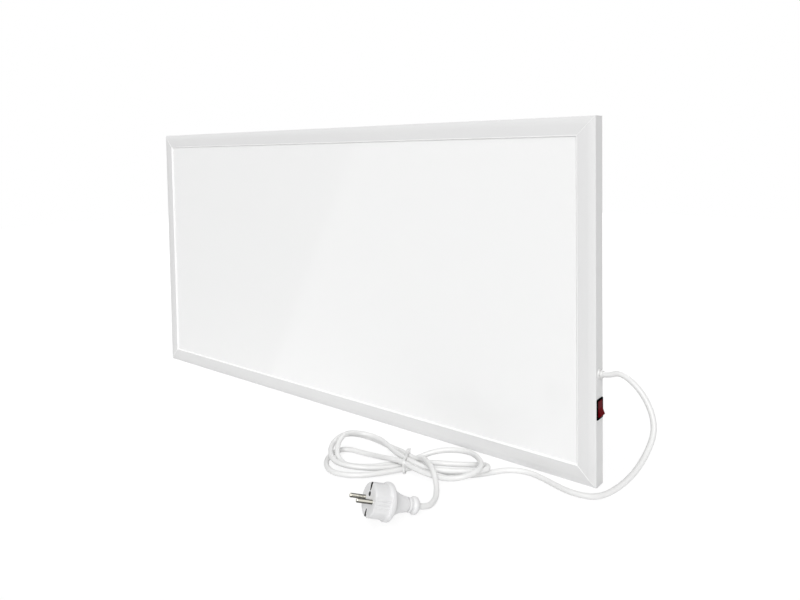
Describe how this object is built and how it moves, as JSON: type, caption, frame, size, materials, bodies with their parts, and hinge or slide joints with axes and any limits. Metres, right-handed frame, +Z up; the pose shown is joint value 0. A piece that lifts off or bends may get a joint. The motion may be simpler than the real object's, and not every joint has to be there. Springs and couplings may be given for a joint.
{
  "type": "infrared panel heater",
  "caption": "Slim white infrared panel heater: rounded frame, glossy glass face, red rocker switch at the side, tied white mains lead with an earthed plug.",
  "frame": {"origin": "middle of the frame's bottom edge, on the surface the heater stands on, at half the panel's depth", "axes": "+X along the panel to the right as seen from the front, +Y to the back (the front faces -Y), +Z up"},
  "size_m": [0.973, 0.2773, 0.45],
  "materials": {
    "white_coat": "satin white powder coat",
    "white_glass": "glossy, back-painted white",
    "zinc_steel": "zinc plated",
    "amber_film": "smooth film",
    "copper_strip": "bright copper strip",
    "bright_foil": "bright foil",
    "grey_board": "pressed fibre board",
    "cover_sheet": "matt light coat",
    "rivet_metal": "plain",
    "black_plastic": "semi-gloss black",
    "red_plastic": "glossy dark red",
    "brass_metal": "plain",
    "white_plastic": "smooth",
    "white_cord": "satin cord jacket",
    "cutout_case": "moulded",
    "brown_wire": "insulation",
    "blue_wire": "insulation",
    "green_wire": "insulation",
    "tie_nylon": "natural nylon",
    "plug_plastic": "moulded",
    "nickel_pins": "nickel plated"
  },
  "bodies": {
    "panel": {"frame_bottom": "white_coat", "frame_left": "white_coat", "frame_top": "white_coat", "frame_right": "white_coat", "corner_keys": "zinc_steel", "corner_screws": "zinc_steel", "back_cover_screws": "zinc_steel", "front_panel": "white_glass", "heating_film": "amber_film", "busbars": "copper_strip", "insulating_sheet": "amber_film", "reflector_foil": "bright_foil", "insulation_board": "grey_board", "back_cover": "cover_sheet", "hanger_bracket_1": "zinc_steel", "hanger_bracket_2": "zinc_steel", "hanger_bracket_3": "zinc_steel", "hanger_bracket_4": "zinc_steel", "hanger_rivets": "rivet_metal", "switch_housing": "black_plastic", "switch_terminals": "brass_metal", "cable_gland": "white_plastic", "inlet_cable": "white_cord", "thermal_cutout": "cutout_case", "cutout_blades": "brass_metal", "terminal_block": "white_plastic", "earth_ring": "zinc_steel", "earth_screw": "zinc_steel", "push_on_connectors": "brass_metal", "wires_live": "brown_wire", "wires_neutral": "blue_wire", "wire_earth": "green_wire", "cord_lead": "white_cord", "cord_hank": "white_cord", "cord_tail": "white_cord", "cable_tie": "tie_nylon", "plug_body": "plug_plastic", "plug_pins": "nickel_pins", "plug_earth_clips": "nickel_pins"},
    "rocker": {"rocker": "red_plastic", "rocker_plunger": "brass_metal"},
    "contact_lever": {"contact_lever": "brass_metal"}
  },
  "joints": [
    {"name": "rocker_tilt", "type": "hinge", "parent": "panel", "child": "rocker", "pos_m": [0.4463, 0.00145, 0.0957], "axis": [0, 1, 0], "range_deg": [0, 22]},
    {"name": "contact_lever_tilt", "type": "hinge", "parent": "panel", "child": "contact_lever", "pos_m": [0.4345, 0.00145, 0.0957], "axis": [0, 1, 0], "range_deg": [-15.5, 0]}
  ],
  "couplings": [
    {"joint": "contact_lever_tilt", "follows": "rocker_tilt", "ratio": -0.7}
  ]
}
